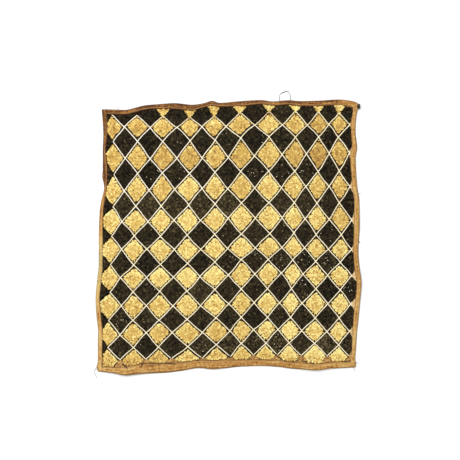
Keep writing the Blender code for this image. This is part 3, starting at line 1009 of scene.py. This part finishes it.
def plant(name, seed_mesh, material, spots):
    """Sets a copy of a small closed shape at every spot, and joins them in one mesh."""
    seed = bpy.data.objects.new(name + "_seed", seed_mesh.copy())
    seed.data.materials.append(material)
    points = bpy.data.meshes.new(name + "_points")
    points.from_pydata([spot.place * MM for spot in spots], [], [])
    columns = {
        "turn": [spot.turn for spot in spots],
        "size": [[side * MM for side in spot.size] for spot in spots],
        "tone": [spot.tone for spot in spots],
    }
    for key, column in columns.items():
        kind, field = ("FLOAT", "value") if key == "tone" else ("FLOAT_VECTOR", "vector")
        layer = points.attributes.new(key, kind, "POINT")
        for item, value in zip(layer.data, column):
            setattr(item, field, value)
    tree = bpy.data.node_groups.new(name + "_plan", "GeometryNodeTree")
    tree.interface.new_socket("Geometry", in_out="INPUT", socket_type="NodeSocketGeometry")
    tree.interface.new_socket("Geometry", in_out="OUTPUT", socket_type="NodeSocketGeometry")
    node = partial(add_node, tree)
    copies = node("GeometryNodeInstanceOnPoints", {
        "Points": node("NodeGroupInput"),
        "Instance": node("GeometryNodeObjectInfo", {"Object": seed}).outputs["Geometry"],
        "Rotation": node("GeometryNodeInputNamedAttribute", {"Name": "turn"}, data_type="FLOAT_VECTOR"),
        "Scale": node("GeometryNodeInputNamedAttribute", {"Name": "size"}, data_type="FLOAT_VECTOR"),
    })
    joined = node("GeometryNodeRealizeInstances", {"Geometry": copies})
    plain = node("GeometryNodeRemoveAttribute", {"Geometry": joined, "Name": "turn"})
    plain = node("GeometryNodeRemoveAttribute", {"Geometry": plain, "Name": "size"})
    node("NodeGroupOutput", {"Geometry": plain})
    holder = link(name + "_holder", points)
    holder.modifiers.new("plan", "NODES").node_group = tree
    depsgraph = bpy.context.evaluated_depsgraph_get()
    mesh = bpy.data.meshes.new_from_object(holder.evaluated_get(depsgraph))
    mesh.name = name
    bpy.data.objects.remove(holder)
    bpy.data.objects.remove(seed)
    return link(name, mesh)


def lay_grid():
    """The field as a fine grid in half columns and half rows."""
    bm = bmesh.new()
    wide = FIELD_RIGHT - FIELD_LEFT
    tall = FIELD_BOTTOM - FIELD_TOP
    bmesh.ops.create_grid(
        bm, x_segments=round(wide * CELLS_A_HALF), y_segments=round(tall * CELLS_A_HALF), size=0.5)
    bmesh.ops.scale(bm, verts=bm.verts, vec=(wide, tall, 1))
    bmesh.ops.translate(bm, verts=bm.verts, vec=(FIELD_LEFT + wide / 2, FIELD_TOP + tall / 2, 0))
    bmesh.ops.reverse_faces(bm, faces=bm.faces)
    return bm


def hem_relief(along, across, side):
    """Strands that run along a rolled hem, and creases where its stitches draw it in."""
    drift = noise.noise(Vector((along / STRAND_DRIFT, 0, side)))
    strands = HEM_STRAND * math.sin(math.tau * (HEM_STRANDS * across + drift))
    billow = HEM_BILLOW * noise.noise(Vector((along / BILLOW_LONG, across * BILLOW_TURNS, side)))
    crease = abs((along / HEM_STITCH_PITCH + CREASE_STRAY * drift) % 1 - 0.5) * HEM_STITCH_PITCH
    drawn = HEM_CREASE * max(0.0, 1 - crease / CREASE_WIDE) * max(0.0, 1 - across / CREASE_TO)
    return strands + billow - drawn


def make_cloth(materials):
    """The woven ground with its turned hem and its back, as one closed sheet."""
    bm = lay_grid()
    lattice = bm.verts.layers.float_vector.new("lattice")
    run = bm.verts.layers.float_vector.new("run")
    dye = bm.verts.layers.float.new("dye")
    edge = bm.verts.layers.float.new("edge")
    for vert in bm.verts:
        vert[lattice] = (vert.co.x, vert.co.y, 0)
        place = field_point(vert.co.x, vert.co.y)
        ripple = GROUND_RIPPLE * noise.noise(place.to_3d() / RIPPLE_LONG)
        vert.co = (place * MM).to_3d()
        vert.co.z = (GROUND + ripple) * MM
    rim = [line for line in bm.edges if line.is_boundary]
    back = bmesh.ops.duplicate(bm, geom=bm.verts[:] + bm.edges[:] + bm.faces[:])["geom"]
    for item in back:
        if isinstance(item, bmesh.types.BMVert):
            item.co.z = 0.0
    back_faces = [item for item in back if isinstance(item, bmesh.types.BMFace)]
    for face in back_faces:
        face.material_index = BACK_SLOT
    bmesh.ops.reverse_faces(bm, faces=back_faces)
    for step in HEM_STEPS:
        grown = bmesh.ops.extrude_edge_only(bm, edges=rim)["geom"]
        for item in grown:
            if isinstance(item, bmesh.types.BMFace):
                item.material_index = HEM_SLOT
                item.smooth = True
            if isinstance(item, bmesh.types.BMVert):
                u, v = item[lattice][0], item[lattice][1]
                inner, outer = field_point(u, v), hem_outer(u, v)
                flat, tall = sides_of(u, v)
                side = tall or flat
                place = inner.lerp(outer, step.across)
                along = place.x if tall else place.y
                height = hem_crest(place.y) * step.height
                if step.height > 0.5:
                    height += hem_relief(along, step.across, len(side))
                item.co = (place * MM).to_3d()
                item.co.z = height * MM
                item[run] = (along * MM, step.across * (outer - inner).length * MM, 0)
                item[dye] = DYE_RUNS[side].at(along)
                # How much painted shade darkens the hem at its outer and inner edges
                outside = max(0.0, (step.across - OUTER_SHADE_FROM) / (1 - OUTER_SHADE_FROM))
                inside = max(0.0, 1 - step.across / INNER_SHADE_TO) * INNER_SHADE[side]
                item[edge] = max(outside, inside)
        rim = [item for item in grown if isinstance(item, bmesh.types.BMEdge) and item.is_boundary]
    bmesh.ops.remove_doubles(bm, verts=bm.verts, dist=WELD * MM)
    for vert in bm.verts:
        vert.co.z += lift(vert.co.x / MM, vert.co.y / MM) * MM
    mesh = bpy.data.meshes.new("raffia_cloth")
    bm.to_mesh(mesh)
    bm.free()
    for material in materials:
        mesh.materials.append(material)
    return link("raffia_cloth", mesh)


def diamond_point(u, v, s, t):
    """A point of the diamond in the middle at u, v; s and t run from -0.5 to 0.5 between its sides."""
    return field_point(u + s + t, v + t - s)


def spans_of(u, v):
    """How far a diamond reaches between its sides, across s and across t."""
    across_s = diamond_point(u, v, 0.5, 0) - diamond_point(u, v, -0.5, 0)
    across_t = diamond_point(u, v, 0, 0.5) - diamond_point(u, v, 0, -0.5)
    area = abs(across_s.cross(across_t))
    return area / across_t.length, area / across_s.length


def steps_between(span, insets, pitch):
    """Even places between two sides of a diamond, about a pitch apart, and in from each by its inset."""
    first, last = insets[0] / span - 0.5, 0.5 - insets[1] / span
    count = max(1, round(span * (last - first) / pitch))
    return [first + (last - first) * i / count for i in range(count + 1)]


def diamonds(gold):
    """The middles of the gold or the black diamonds, those at the rim included."""
    return [(u, v) for v in range(-1, LAST_ROW + 2) for u in range(-1, LAST_COLUMN + 2)
            if (u + v) % 2 and (u % 2 == 0) == gold]


def on_cloth(point, height):
    """A place at a height over the cloth's back, wherever the cloth is lifted."""
    return Vector((point.x, point.y, height + lift(point.x, point.y)))


def tuft_at(point, near, lean, tone, draw, share=1.0):
    """A tuft whose cut end stands a little lower near the diamond's sides."""
    full = min(1.0, near / SHOULDER_WIDTH)
    ragged = draw.uniform(-TUFT_RAGGED, TUFT_RAGGED)
    top = PILE_SHOULDER + (PILE_CROWN - PILE_SHOULDER) * full + ragged
    wide = TUFT_WIDTH / 2 * share * draw.uniform(*TUFT_WIDTHS)
    wobble_x, wobble_y = (draw.gauss(0, spread) for spread in TUFT_WOBBLE)
    turn = (lean + wobble_x, wobble_y, draw.uniform(0, math.tau))
    return Spot(on_cloth(point, PILE_ROOT), turn, (wide, wide, top - PILE_ROOT), tone)


def outlined(u, v):
    """How a gold diamond's sides are outlined: True where the dark stitches run on, False for dots."""
    upper = v > TURN_ROW or (v == TURN_ROW and u <= TURN_COLUMN)
    return {"upper": upper, "lower": not upper}


def pile_spots(gold, seed):
    """The tufts of all the gold or all the black diamonds."""
    draw = random.Random(seed)
    spots = []
    for u, v in diamonds(gold):
        if v > LAST_ROW or gold and (u > LAST_COLUMN or v < 0 and u < FIRST_CUT_COLUMN):
            continue
        across_s, across_t = spans_of(u, v)
        inset = GOLD_INSET if gold else BLACK_INSET
        if v < 0 and gold:
            inset = BARE_INSET
        below = BOTTOM_INSET if gold and v == LAST_ROW else inset
        if gold:
            base = GOLD_TONE + soft_sum(GOLD_TINTS, u, v)
        else:
            base = BLACK_TONE + soft_sum(BLACK_TINTS, u, v) + band_sum(BLACK_BANDS, u, v)
        base += draw.uniform(-1, 1) * DIAMOND_DRIFT + (BARE_PALER if gold and v < 0 else 0.0)
        lean = TUFT_LEAN if v <= TURN_ROW else -TUFT_LEAN
        s_first = t_first = inset
        if gold and u == 0:
            s_first = t_first = HEMWARD_INSET
        if gold and v == LAST_ROW:
            s_first = BOTTOM_INSET
        for s in steps_between(across_s, (s_first, inset), TUFT_PITCH):
            for t in steps_between(across_t, (t_first, below), TUFT_PITCH):
                s_at = s + draw.uniform(-1, 1) * TUFT_JITTER * TUFT_PITCH / across_s
                t_at = t + draw.uniform(-1, 1) * TUFT_JITTER * TUFT_PITCH / across_t
                point = diamond_point(u, v, s_at, t_at)
                # Painted light: gold tufts paler towards a diamond's upper sides, and along its edges
                painted_light = (s_at - t_at) * UPPER_PAINTED_LIGHT if gold else 0.0
                from_s, from_t = (0.5 - abs(s_at)) * across_s, (0.5 - abs(t_at)) * across_t
                near = min(from_s, from_t)
                if gold and v >= 0:
                    painted_light += EDGE_PAINTED_LIGHT * min(1.0, max(0.0, 1 - (near - inset) / EDGE_REACH))
                tone = base + painted_light + draw.gauss(0, TUFT_DRIFT)
                spot = tuft_at(point, near, lean, tone, draw)
                if gold and 0 < u and 0 < v < LAST_ROW and from_s + from_t < 2 * inset + GOLD_BLUNT:
                    continue
                if inside_hem(point, HEM_MARGIN if v < LAST_ROW else BOTTOM_MARGIN):
                    spots.append(spot)
    return spots


def outline_spots(seed):
    """Dark stitches just inside the gold diamonds, and the gold tufts that stand between the dots."""
    draw = random.Random(seed)
    dark, fill = [], []
    for u, v in diamonds(True):
        if v < 0 or v > LAST_ROW or u > LAST_COLUMN:
            continue
        across_s, across_t = spans_of(u, v)
        runs_on = outlined(u, v)
        base = GOLD_TONE + soft_sum(GOLD_TINTS, u, v)
        for side, (s_side, t_side) in SIDES.items():
            half = side.split()[0]
            whole = runs_on[half]
            kind = DARK_RUN if whole else DARK_DOTS[half]
            kept_share = TOP_DOTS if not whole and v == 1 and half == "upper" else kind.kept
            along_t = t_side is None
            span, other = (across_s, across_t) if along_t else (across_t, across_s)
            fixed = math.copysign(0.5 - OUTLINE_OFFSET / span, s_side or t_side)
            for place in steps_between(other, (OUTLINE_OFFSET, OUTLINE_OFFSET), kind.pitch):
                along = place + draw.uniform(-1, 1) * kind.jitter * kind.pitch / other
                s, t = (fixed, along) if along_t else (along, fixed)
                point = diamond_point(u, v, s, t)
                ahead = diamond_point(u, v, *((s, t + AHEAD) if along_t else (s + AHEAD, t)))
                if not inside_hem(point, HEM_MARGIN):
                    continue
                long, wide, high = kind.stitch
                long *= draw.uniform(*DARK_LENGTHS)
                kept = draw.random() < kept_share
                turn = math.atan2(ahead.y - point.y, ahead.x - point.x) + draw.gauss(0, DARK_STRAY)
                if kept:
                    root = on_cloth(point, OUTLINE_LEVEL + kind.rise)
                    size = (long, wide * draw.uniform(*DARK_WIDTHS), high)
                    dark.append(Spot(root, (0, 0, turn), size, draw.uniform(*DARK_TONES)))
                if not whole and v < LAST_ROW:
                    shift = along + 0.5 * kind.pitch / other
                    stands = math.copysign(0.5 - FILL_OFFSET / span, fixed)
                    s, t = (stands, shift) if along_t else (shift, stands)
                    point = diamond_point(u, v, s, t)
                    if abs(shift) < 0.5 - OUTLINE_OFFSET / other and inside_hem(point, HEM_MARGIN):
                        tone = base + draw.gauss(0, TUFT_DRIFT)
                        fill.append(tuft_at(point, FILL_NEAR, 0.0, tone, draw, FILL_SHARE))
    return dark, fill


def line_ends():
    """The ends of the stitched lines on the lattice: the lines that rise to the right, then the rest."""
    rising, falling = [], []
    for k in range(2, LAST_ROW + LAST_COLUMN + 1, 2):
        left, right = max(LINE_TURN, k - LAST_ROW + LINE_TURN), min(LAST_COLUMN + LINE_TURN, k - LINE_TURN)
        rising.append(((left, k - left), (right, k - right)))
    for k in range(-LAST_ROW + 1, LAST_COLUMN, 2):
        left, right = max(LINE_TURN, k + LINE_TURN), min(LAST_COLUMN + LINE_TURN, LAST_ROW + k - LINE_TURN)
        falling.append(((left, left - k), (right, right - k)))
    return rising, falling


def line_tone(u, v, draw):
    """Cream thread: pinkish white at the top left, yellower elsewhere, and golden along the top."""
    near = max(0.0, 1 - math.hypot(u - LINE_PALER.column, v - LINE_PALER.row) / LINE_PALER.reach)
    tone = LINE_TONE + LINE_PALER.amount * near
    if v < TOP_REACH and u > FIRST_CUT_COLUMN:
        tone -= TOP_GOLD
    if v < NECK_REACH and round(u) in GOLDEN_NECKS:
        tone -= NECK_GOLD * (1 - v / NECK_REACH)
    drift = noise.noise(Vector((u, v, 0)) * LINE_DRIFT_RATE)
    brown = max(0.0, noise.noise(Vector((v, u, 9)) * LINE_BROWN_RATE) - LINE_BROWN_FROM)
    return tone + LINE_DRIFT * drift - LINE_BROWN * brown + draw.gauss(0, LINE_TONE_SPREAD)


def line_spots(ends, seed):
    """Stem stitches along lines: each lies a little aslant and overlaps the one before."""
    draw = random.Random(seed)
    spots = []
    for (u0, v0), (u1, v1) in ends:
        count = max(2, round(abs(u1 - u0) / LINE_STEP))
        track = [(u0 + (u1 - u0) * i / count, v0 + (v1 - v0) * i / count) for i in range(count + 1)]
        left_over = 0.0
        for (u_a, v_a), (u_b, v_b) in zip(track, track[1:]):
            a, b = field_point(u_a, v_a), field_point(u_b, v_b)
            reach = (b - a).length
            at = left_over
            while at < reach:
                share = at / reach
                point = a.lerp(b, share)
                u, v = u_a + (u_b - u_a) * share, v_a + (v_b - v_a) * share
                if inside_hem(point, LINE_MARGIN):
                    turn = math.atan2(b.y - a.y, b.x - a.x) + LINE_SLANT + draw.gauss(0, LINE_STRAY)
                    size = [side * draw.uniform(*LINE_SIZES) for side in LINE_STITCH]
                    tone = line_tone(u, v, draw)
                    spots.append(Spot(on_cloth(point, LINE_LEVEL), (0, 0, turn), size, tone))
                at += LINE_PITCH
            left_over = at - reach
    return spots


def stroke_spots(seed):
    """Short dark stitches along each stroke at the bottom, on the open ground or on the hem; those along the
    hem's inner edge are painted shade.
    """
    draw = random.Random(seed)
    spots = []
    for stroke in STROKES:
        start, end = Vector((stroke.x0, stroke.y0)), Vector((stroke.x1, stroke.y1))
        count = round((end - start).length / STROKE_PITCH)
        for i in range(count + 1):
            stray = Vector((draw.gauss(0, STROKE_STRAY), draw.gauss(0, STROKE_STRAY)))
            point = start.lerp(end, i / count) + stray
            on_hem = point.y < INNER["bottom"].at(point.x)
            level = hem_crest(point.y) * STROKE_ON_HEM if on_hem else OUTLINE_LEVEL
            turn = math.atan2(end.y - start.y, end.x - start.x) + draw.gauss(0, STROKE_TURN)
            long = STROKE_LONG * draw.uniform(*STROKE_SIZES)
            wide = stroke.wide * draw.uniform(*STROKE_SIZES)
            tone = stroke.tone + draw.uniform(-STROKE_TONES, STROKE_TONES)
            spots.append(Spot(on_cloth(point, level), (0, 0, turn), (long, wide, STROKE_HIGH), tone))
    return spots


def speck_spots(seed):
    """Pale ends of the ground that show in the black pile."""
    draw = random.Random(seed)
    spots = []
    for speck in SPECKS:
        for _ in range(speck.count):
            s, t = (draw.uniform(-SPECK_SPREAD, SPECK_SPREAD) for _ in range(2))
            point = diamond_point(speck.column, speck.row, s * speck.reach, t * speck.reach)
            if inside_hem(point, SPECK_MARGIN):
                turn = (draw.gauss(0, SPECK_TILT), draw.gauss(0, SPECK_TILT), draw.uniform(0, math.tau))
                size = (draw.uniform(*SPECK_LONG), draw.uniform(*SPECK_WIDE), SPECK_HIGH)
                root = on_cloth(point, PILE_CROWN + SPECK_RISE)
                spots.append(Spot(root, turn, size, draw.uniform(*SPECK_TONES)))
    return spots


def hem_stitch_spots(seed):
    """The stitches that hold the hem down, each across its inner edge."""
    draw = random.Random(seed)
    spots = []
    for side, hem in HEMS.items():
        level = side in ("top", "bottom")
        inwards = {"top": -1, "bottom": 1, "left": 1, "right": -1}[side]
        tilt = -HEM_STITCH_TILT * inwards
        straight = math.pi / 2 if level else 0.0
        at = hem[0].along + HEM_STITCH_ENDS
        while at < hem[-1].along - HEM_STITCH_ENDS:
            inner = INNER[side].at(at)
            point = Vector((at, inner)) if level else Vector((inner, at))
            slant = straight + HEM_STITCH_SLANT + draw.gauss(0, HEM_STITCH_STRAY)
            turn = (tilt, 0, slant) if level else (0, -tilt, slant)
            root = on_cloth(point, hem_crest(point.y) * HEM_STITCH_LEVEL)
            size = [length * draw.uniform(*HEM_STITCH_SIZES) for length in HEM_STITCH]
            spots.append(Spot(root, turn, size, draw.uniform(*HEM_STITCH_TONES)))
            at += HEM_STITCH_PITCH * draw.uniform(*HEM_STITCH_PITCHES)
    return spots


def knot_spots(table):
    """The turns of a knot, from a table of their places, turns, sizes and tones."""
    return [Spot(Vector(place), turn, size, tone) for place, turn, size, tone in table]


def halves(spots):
    """The spots of the cloth's upper half, and those of its lower half."""
    return [spot for spot in spots if spot.place.y > 0], [spot for spot in spots if spot.place.y <= 0]


def on_hem_edge(x):
    """A point just clear of the top hem's outer edge, at mid height."""
    y = OUTER["top"].at(x)
    return (x, y + THREAD_GAP, THREAD_LEAVES + lift(x, y))


def loop_points():
    """The thread loop's route: a smooth curve through its bends, from the hem and back to it."""
    bends = [Vector(bend) for bend in (on_hem_edge(LOOP_STARTS), *LOOP_BENDS, on_hem_edge(LOOP_ENDS))]
    run = [0.0]
    for before, after in zip(bends, bends[1:]):
        run.append(run[-1] + (after - before).length)
    ways = [Run(run, [bend[axis] for bend in bends]) for axis in range(3)]
    places = [run[-1] * step / THREAD_STEPS for step in range(THREAD_STEPS + 1)]
    return [Vector([way.at(place) for way in ways]) for place in places]


def thread_curve(name, routes, material):
    """Threads as one curve: each route is its points and its diameter."""
    curve = bpy.data.curves.new(name, "CURVE")
    curve.dimensions = "3D"
    curve.bevel_depth = 0.5 * MM
    curve.bevel_resolution = 2
    curve.use_fill_caps = True
    for points, diameter in routes:
        spline = curve.splines.new("POLY")
        spline.points.add(len(points) - 1)
        for target, point in zip(spline.points, points):
            target.co = [value * MM for value in point] + [1.0]
            target.radius = diameter
    curve.materials.append(material)
    return link(name, curve)


def as_mesh(thing):
    """Replaces a curve by its own mesh."""
    depsgraph = bpy.context.evaluated_depsgraph_get()
    mesh = bpy.data.meshes.new_from_object(thing.evaluated_get(depsgraph))
    name = thing.name
    bpy.data.objects.remove(thing)
    mesh.name = name
    return link(name, mesh)


def make_floor(material):
    bm = bmesh.new()
    bmesh.ops.create_grid(bm, x_segments=1, y_segments=1, size=FLOOR_SIZE / 2 * MM)
    bmesh.ops.translate(bm, verts=bm.verts, vec=(0, 0, -FLOOR_DROP * MM))
    mesh = bpy.data.meshes.new("floor")
    bm.to_mesh(mesh)
    bm.free()
    mesh.materials.append(material)
    floor = link("floor", mesh)


def make_camera():
    data = bpy.data.cameras.new("camera")
    data.sensor_width = 36.0
    data.lens = data.sensor_width * CAMERA_HEIGHT / VIEW_WIDTH
    data.clip_end = 20.0
    camera = link("camera", data)
    camera.location = (VIEW_MIDDLE[0] * MM, VIEW_MIDDLE[1] * MM, CAMERA_HEIGHT * MM)
    bpy.context.scene.camera = camera


def make_light():
    """A white studio: even light from all round, and one broad soft light from above the top left."""
    world = bpy.data.worlds.new("studio")
    world.use_nodes = True
    background = world.node_tree.nodes["Background"]
    background.inputs["Color"].default_value = linear("ffffff")
    background.inputs["Strength"].default_value = ROOM_LIGHT
    bpy.context.scene.world = world
    lamp = bpy.data.lights.new("soft light", "AREA")
    lamp.shape = "SQUARE"
    lamp.size = LAMP_SIZE
    lamp.energy = LAMP_POWER
    light = link("soft light", lamp)
    light.location = LAMP_PLACE
    light.rotation_euler = (-light.location).to_track_quat("-Z", "Y").to_euler()
    settings = bpy.context.scene.view_settings
    settings.view_transform = "Standard"
    settings.look = "None"


def main():
    make_camera()
    make_light()
    make_floor(floor_material())

    cream = thread_material("cream raffia thread", ("c08c58", "fff0c6", "fff6e4"), 0.6)
    dark = thread_material("dark raffia thread", ("0d0905", "2c1c0c", "4a3218"), 0.7)
    sewing = thread_material("brown sewing thread", ("3c2813", "8a6030", "c79a5c"), 0.7)
    grey = thread_material("grey sewing thread", ("24221f", "4e4b46", "8c8880"), 0.8)
    gold_pile = pile_material(
        "gold cut raffia pile", ("a27c40", "dab660", "f7e99a"), ("cf964a", 0.26), 9, 0.2)
    black_pile = pile_material(
        "black cut raffia pile", ("0c0a06", "3a321f", "7a6c4a"), ("2c1e14", 0.45), 6, 0.1)

    loop = thread_curve("thread_loop", [(loop_points(), LOOP_DIAMETER)], grey)
    knot = plant("loop_knot", seed_stitch(8, 6), grey, knot_spots(LOOP_KNOT))
    loose_ends = [(route.points, route.diameter) for route in FRAYED]
    frayed = as_mesh(thread_curve("frayed_ends", loose_ends, grey))

    cloth = make_cloth((ground_material(), back_material(), hem_material()))
    tuft, stitch = seed_tuft(), seed_stitch(6, 5)
    dot = seed_stitch(5, 4)
    dark_spots, fill_spots = outline_spots(seed=41)
    gold_upper, gold_lower = halves(pile_spots(gold=True, seed=11) + fill_spots)
    black_upper, black_lower = halves(pile_spots(gold=False, seed=12))
    rising, falling = line_ends()
    pieces = [
        plant("gold_pile_upper", tuft, gold_pile, gold_upper),
        plant("gold_pile_lower", tuft, gold_pile, gold_lower),
        plant("black_pile_upper", tuft, black_pile, black_upper),
        plant("black_pile_lower", tuft, black_pile, black_lower),
        plant("rising_stem_stitches", stitch, cream, line_spots(rising, seed=21)),
        plant("falling_stem_stitches", stitch, cream, line_spots(falling, seed=22)),
        # The strokes along the hem's inner edge among these are painted shade
        plant("outline_stitches", dot, dark, dark_spots + stroke_spots(seed=71)),
        plant("pale_specks", dot, cream, speck_spots(seed=51)),
        plant("hem_stitches", dot, sewing, hem_stitch_spots(seed=61)),
        plant("corner_knot", seed_stitch(10, 8), dark, knot_spots(CORNER_KNOT)),
    ]

    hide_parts("cloth")
    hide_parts("hanging_loop")
    for piece in [cloth, *pieces]:
        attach(piece, "root")
    for piece in (loop, knot, frayed):
        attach(piece, "root")
    tuple(value * MM for value in on_hem_edge(LOOP_STARTS))


main()
